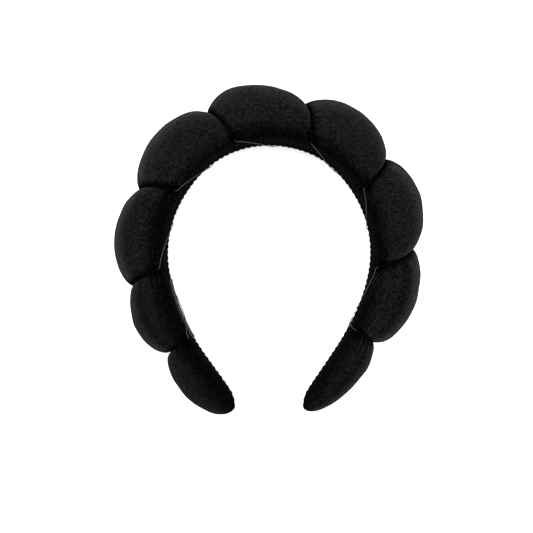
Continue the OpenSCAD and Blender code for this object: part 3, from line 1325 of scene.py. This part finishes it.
@dataclass
class EdgeStitches(Piece):
    """Slanting overcast stitches that hold both edges of the ribbon to the velvet."""

    form: RollForm
    ribbon: RibbedRibbon
    pitch: float = 1.75
    diameter: float = 0.28
    # How far each stitch reaches in over the ribbon, and out into the velvet
    inside: float = 5.2
    outside: float = 0.5
    # The largest share of the ribbon's half width that it covers, where the band is narrow
    most: float = 0.55
    # Shares of its radius: how far its middle is over the ribbon, over the velvet, and how
    # much deeper it goes at both ends
    over: tuple[float, float] = (0.2, 0.6)
    dips: float = 1.5
    # How far inside the ribbon's edge it starts to go down
    goes_down: float = 0.3
    # How far short of the ribbon's ends the rows of stitches stop
    stops: float = 4.0
    # How far it runs along the band meanwhile
    slant: float = 2.0
    # How far a stitch may be off its place, and its slant from the others'
    wander: tuple[float, float] = (0.35, 1.2)
    seed: int = 3
    sides: int = 6
    steps: int = 9

    def build(self) -> bpy.types.Object:
        """Build every stitch as one piece.

        Returns:
            The new object.
        """
        reach = self.form.band.half_length - self.ribbon.end - self.stops
        rng = np.random.default_rng(self.seed)
        points, faces, count = [], [], 0
        for side in Side:
            for q in np.arange(-reach, reach, self.pitch):
                off, turn = rng.uniform(-1, 1, 2) * self.wander
                path = self._path(q + off, self.slant + turn, side)
                tube, sides = capped_mesh(thread_rings(path, self.diameter / 2, self.sides))
                points.append(tube)
                faces += [tuple(count + p for p in f) for f in sides]
                count += len(tube)
        return make_piece("edge_stitches", np.concatenate(points), faces)

    def _path(self, q: float, slant: float, side: Side) -> np.ndarray:
        """Lead one stitch from the ribbon, over its edge, into the velvet.

        Args:
            q: Length along the band.
            slant: How far along the band the stitch runs.
            side: The edge that it holds.

        Returns:
            Points of the stitch's middle line.
        """
        band, radius = self.form.band, self.diameter / 2
        t = np.linspace(0, 1, self.steps)
        along = q + slant * (t - 0.5)
        wide = self.ribbon.half_width(along)
        edge = band.face_half(along)
        inside = np.minimum(self.inside, self.most * wide)
        across = wide - inside + (edge + self.outside - wide + inside) * t
        high = self.ribbon.top(along) + radius * self.over[0]
        past = across - wide + self.goes_down
        down = smoothstep(0.0, 1.0, past / (edge - wide + self.goes_down))
        out = high + (radius * self.over[1] - high) * down
        out[[0, -1]] -= radius * self.dips
        return band.over_face(along, side.value * across, out)


@dataclass(frozen=True)
class Velvet:
    """Black polyester velvet, its pile cut short over a knitted ground.

    The pile drinks the light that falls into it. Its colour holds painted shade, almost
    black in the creases and along the inside face by the ribbon, and a painted sheen, lighter
    where it is seen from the side; the shader's own sheen is faint.
    """

    # Colours from the darkest painted shade to the most lit velvet, each with its place in the
    # ramp
    piles: tuple[tuple[float, str], ...] = (
        (0.05, "#010101"), (0.42, "#020202"), (0.72, "#070707"), (1.0, "#181818"),
    )
    # Painted sheen: the colour mixed into lit velvet seen quite from the side, and how fast it
    # grows
    lit_side: str = "#292929"
    lit_side_power: float = 1.8
    sheen: str = "#a0a0a0"
    sheen_weight: float = 0.010
    # Tufts are about 0.15 mm apart; they are drawn this coarse so that they show
    tuft: float = 0.52
    # Where the pile was stroked one way or the other
    stroke: float = 3.2
    patch: float = 14.0
    # How much the painted light and shade, the tufts, the strokes and the patches count in
    # the ramp, and what their sum starts from
    weights: tuple[float, float, float, float] = (0.72, 6.0, 0.3, 0.2)
    start: float = -3.42
    # How the tufts break up the painted sheen: how strongly, and what that starts from
    breaks: tuple[float, float] = (6.0, -2.0)
    relief: float = 0.2

    def make(self) -> bpy.types.Material:
        """Make the material.

        Returns:
            The new material.
        """
        material, tree = new_material("velvet")
        where = add_node(tree, "ShaderNodeTexCoord").outputs["Object"]
        noises = (self.tuft, 1.0, 1.2), (self.stroke, 2.0, 0.0), (self.patch, 1.0, 0.0)
        tufts, strokes, patches = (
            add_node(
                tree, "ShaderNodeTexNoise",
                {
                    "Vector": where, "Scale": per_metre(size), "Detail": detail,
                    "Roughness": 0.6, "Distortion": swirl,
                },
            ).outputs["Fac"]
            for size, detail, swirl in noises
        )
        # The painted light and shade stored on the velvet's points
        painted_shading = add_node(tree, "ShaderNodeAttribute", attribute_name="painted_shading").outputs["Fac"]
        # The ramp's place: painted light and shade, tufts, strokes and patches, each by its
        # weight
        shade = self.start
        for value, weight in zip((painted_shading, tufts, strokes, patches), self.weights):
            shade = add_node(
                tree, "ShaderNodeMath", {0: value, 1: weight, 2: shade}, operation="MULTIPLY_ADD",
            ).outputs[0]
        colour = add_node(
            tree, "ShaderNodeValToRGB", {"Fac": shade}, stops=self.piles,
        ).outputs["Color"]
        # Painted sheen: lit velvet turns lighter where it is seen from the side, broken up by the
        # tufts
        facing = add_node(tree, "ShaderNodeLayerWeight", {"Blend": 0.5}).outputs["Facing"]
        strength, least = self.breaks
        uneven = add_node(
            tree, "ShaderNodeMath", {0: tufts, 1: strength, 2: least}, operation="MULTIPLY_ADD",
        ).outputs[0]
        lit_side = add_node(
            tree, "ShaderNodeMath", {0: facing, 1: self.lit_side_power}, operation="POWER",
        ).outputs[0]
        for value in (painted_shading, uneven):
            lit_side = add_node(
                tree, "ShaderNodeMath", {0: lit_side, 1: value}, operation="MULTIPLY",
            ).outputs[0]
        colour = add_node(
            tree, "ShaderNodeMixRGB",
            {"Fac": lit_side, "Color1": colour, "Color2": to_linear(self.lit_side)},
        ).outputs["Color"]
        bump = add_node(
            tree, "ShaderNodeBump",
            {"Height": tufts, "Strength": 0.8, "Distance": self.relief * MM},
        ).outputs["Normal"]
        shader = add_node(
            tree, "ShaderNodeBsdfPrincipled",
            {
                "Base Color": colour, "Roughness": 1.0, "IOR": 1.5, "Specular IOR Level": 0.0,
                "Sheen Weight": self.sheen_weight, "Sheen Roughness": 0.3,
                "Sheen Tint": to_linear(self.sheen), "Normal": bump,
            },
        )
        add_node(tree, "ShaderNodeOutputMaterial", {"Surface": shader.outputs[0]})
        return material


@dataclass(frozen=True)
class Grosgrain:
    """Ribbed polyester ribbon, woven of fine yarns.

    Its yarns break the light up, so it looks matt, a little lighter than the velvet in its
    painted shade, and black in the furrows between its ribs.
    """

    yarn: str = "#080808"
    shadow: str = "#030303"
    # Yarns are about 0.3 mm thick, drawn three times as thick so that they show
    yarn_size: float = 0.9
    relief: float = 0.15

    def make(self) -> bpy.types.Material:
        """Make the material.

        Returns:
            The new material.
        """
        material, tree = new_material("grosgrain ribbon")
        where = add_node(tree, "ShaderNodeTexCoord").outputs["Object"]
        yarns = add_node(
            tree, "ShaderNodeTexNoise",
            {"Vector": where, "Scale": per_metre(self.yarn_size), "Detail": 2.0},
        ).outputs["Fac"]
        shades = (0.35, self.shadow), (0.65, self.yarn)
        colour = add_node(
            tree, "ShaderNodeValToRGB", {"Fac": yarns}, stops=shades,
        ).outputs["Color"]
        bump = add_node(
            tree, "ShaderNodeBump",
            {"Height": yarns, "Strength": 0.4, "Distance": self.relief * MM},
        ).outputs["Normal"]
        shader = add_node(
            tree, "ShaderNodeBsdfPrincipled",
            {
                "Base Color": colour, "Roughness": 0.85, "IOR": 1.5,
                "Specular IOR Level": 0.0, "Normal": bump,
            },
        )
        add_node(tree, "ShaderNodeOutputMaterial", {"Surface": shader.outputs[0]})
        return material


@dataclass(frozen=True)
class PlainFinish:
    """A finish with one colour that wanders a little from its dark to its light shade.

    GLOSS is how strongly it mirrors the lights, and GRAIN is the size of its shades'
    patches in millimetres.
    """

    name: str
    light: str
    dark: str
    roughness: float
    ior: float = 1.5
    gloss: float = 0.5
    grain: float = 2.0
    # How far the grain's noise is from its middle where the colour is all dark or all light
    reach: float = 0.2

    def make(self) -> bpy.types.Material:
        """Make the material.

        Returns:
            The new material.
        """
        material, tree = new_material(self.name)
        where = add_node(tree, "ShaderNodeTexCoord").outputs["Object"]
        grain = add_node(
            tree, "ShaderNodeTexNoise", {"Vector": where, "Scale": per_metre(self.grain)},
        ).outputs["Fac"]
        shades = (0.5 - self.reach, self.dark), (0.5 + self.reach, self.light)
        colour = add_node(
            tree, "ShaderNodeValToRGB", {"Fac": grain}, stops=shades,
        ).outputs["Color"]
        shader = add_node(
            tree, "ShaderNodeBsdfPrincipled",
            {
                "Base Color": colour, "Roughness": self.roughness, "IOR": self.ior,
                "Specular IOR Level": self.gloss,
            },
        )
        add_node(tree, "ShaderNodeOutputMaterial", {"Surface": shader.outputs[0]})
        return material


@dataclass(frozen=True)
class Studio:
    """Pale floor, soft lights and the camera that looks straight down."""

    aim: tuple[float, float] = (-0.94, -9.57)
    camera_height: float = 820.0
    # Width that the camera sees at 800 mm
    seen: float = 319.8
    distance: float = 800.0
    sensor: float = 36.0
    floor_size: float = 4000.0

    def add_floor(self, material: bpy.types.Material) -> None:
        """Lay the floor under the band.

        Args:
            material: Its finish.
        """
        half = self.floor_size / 2
        corners = [[-half, -half, 0], [half, -half, 0], [half, half, 0], [-half, half, 0]]
        floor = make_piece("floor", np.array(corners, float), [(0, 1, 2, 3)])
        floor.data.materials.append(material)

    def add_light(
        self, name: str, place: tuple[float, float, float], size: float, power: float
    ) -> None:
        """Hang a square softbox that faces the band.

        Args:
            name: The light's name.
            place: Its middle, in millimetres.
            size: Its side, in millimetres.
            power: Its power in watts.
        """
        data = bpy.data.lights.new(name, "AREA")
        data.shape = "SQUARE"
        data.size = size * MM
        data.energy = power
        light = bpy.data.objects.new(name, data)
        light.location = [c * MM for c in place]
        to_band = -light.location
        light.rotation_euler = to_band.to_track_quat("-Z", "Y").to_euler()
        bpy.context.scene.collection.objects.link(light)

    def add_world(self, code: str, strength: float) -> None:
        """Surround the scene with pale, even light.

        Args:
            code: The light's colour as #rrggbb.
            strength: Its strength.
        """
        world = bpy.data.worlds.new("studio")
        world.use_nodes = True
        world.node_tree.nodes.clear()
        glow = add_node(
            world.node_tree, "ShaderNodeBackground",
            {"Color": to_linear(code), "Strength": strength},
        )
        add_node(world.node_tree, "ShaderNodeOutputWorld", {"Surface": glow.outputs[0]})
        bpy.context.scene.world = world

    def add_camera(self) -> None:
        """Set the camera over the band, with the crown at the top of the picture."""
        data = bpy.data.cameras.new("camera")
        data.sensor_width = self.sensor
        data.lens = self.sensor * self.distance / self.seen
        camera = bpy.data.objects.new("camera", data)
        camera.location = (self.aim[0] * MM, self.aim[1] * MM, self.camera_height * MM)
        bpy.context.scene.collection.objects.link(camera)
        bpy.context.scene.camera = camera


def main() -> None:
    """Light the floor, then build and dress the headband piece by piece."""
    logging.basicConfig(level=logging.INFO, format="%(name)s %(message)s")
    form = RollForm(BandPlan())
    band = form.band

    studio = Studio()
    studio.add_camera()
    studio.add_world("#ffffff", 1.6)
    studio.add_light("key", (-550, 450, 1300), 1300, 34)
    studio.add_light("fill", (800, -100, 1100), 1100, 15)
    # Painted board: a matt, almost white ground that throws light up at the sides
    board = PlainFinish("painted board", "#f8f8f7", "#f5f5f4", 0.9, grain=60.0)
    studio.add_floor(board.make())

    velvet = Velvet().make()
    roll = VelvetRoll(form, GatheredCover(form).reliefs()).dress(velvet, "velvet", "padding")

    middle = (PINCHES[1].at + PINCHES[2].at) / 2 * band.half_length
    strip = PlainStrip(band, middle)
    ribbon = RibbedRibbon(band, plain=strip.plain)
    ribbon.dress(Grosgrain().make(), "ribbon", "lining")
    # Satin: the smoothest cloth here and the lightest, with faint clouds and no highlight
    satin = PlainFinish("satin", "#343434", "#222222", 0.5, gloss=0.0, grain=1.2, reach=0.12)
    strip.dress(satin.make(), "satin", "label")
    # Nylon: a smooth dark grey line with a thin, soft highlight along it
    nylon = PlainFinish("nylon", "#262626", "#1e1e1e", 0.45, 1.53, gloss=0.13)
    BindingThread(form).dress(nylon.make(), "nylon", "thread")
    # Polyester thread: spun, dull and nearly black, with hardly a shine
    yarn = PlainFinish("polyester thread", "#131313", "#030303", 0.8, gloss=0.02, grain=1.3)
    EdgeStitches(form, ribbon).dress(yarn.make(), "ribbon")

    bpy.context.scene.view_settings.view_transform = "Standard"


if __name__ == "__main__":
    main()
